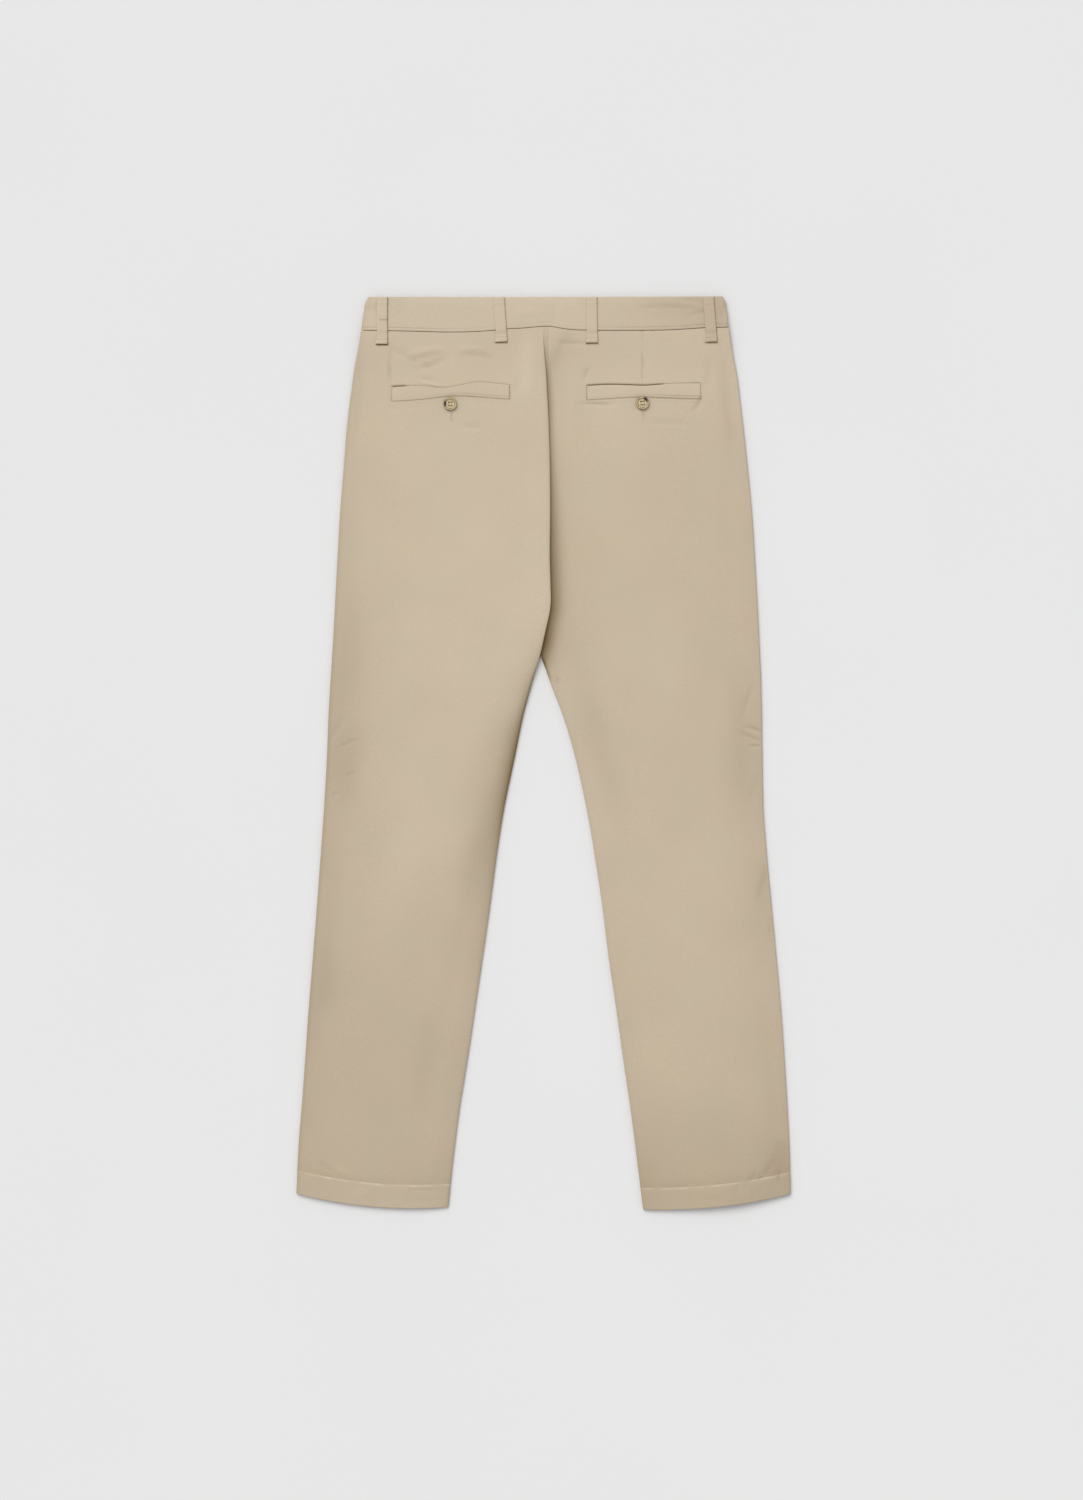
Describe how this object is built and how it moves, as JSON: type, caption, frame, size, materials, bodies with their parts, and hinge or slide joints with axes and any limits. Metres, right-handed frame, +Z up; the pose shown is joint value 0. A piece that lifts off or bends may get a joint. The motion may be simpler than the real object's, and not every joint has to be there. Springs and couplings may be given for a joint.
{
  "type": "chino trousers",
  "caption": "Slim chino trousers laid flat on their front, seat side up, with a waistband, belt loops, welted back pockets, slanted front pockets and buttons.",
  "frame": {"origin": "on the surface that the garment lies on, in the middle of its outline", "axes": "+X to the wearer's right, which is the right-hand side as the seat side is seen, +Y along the garment towards the waist, +Z up from the surface"},
  "size_m": [0.5692, 1.051, 0.0116],
  "materials": {
    "khaki_twill": "matte beige cotton twill with tone-on-tone stitching",
    "horn_button": "beige horn effect with dark brown streaks, lightly polished"
  },
  "bodies": {
    "root": {"back_left": "khaki_twill", "back_right": "khaki_twill", "front_left": "khaki_twill", "front_right": "khaki_twill", "waistband": "khaki_twill", "pocket_facing_left": "khaki_twill", "pocket_facing_right": "khaki_twill", "welt_left": "khaki_twill", "welt_right": "khaki_twill", "belt_loop_back_left_side": "khaki_twill", "belt_loop_back_left": "khaki_twill", "belt_loop_back_right": "khaki_twill", "belt_loop_back_right_side": "khaki_twill", "belt_loop_front_left": "khaki_twill", "belt_loop_front_right": "khaki_twill", "button_back_left": "horn_button", "button_back_right": "horn_button", "button_front": "horn_button"}
  },
  "joints": []
}
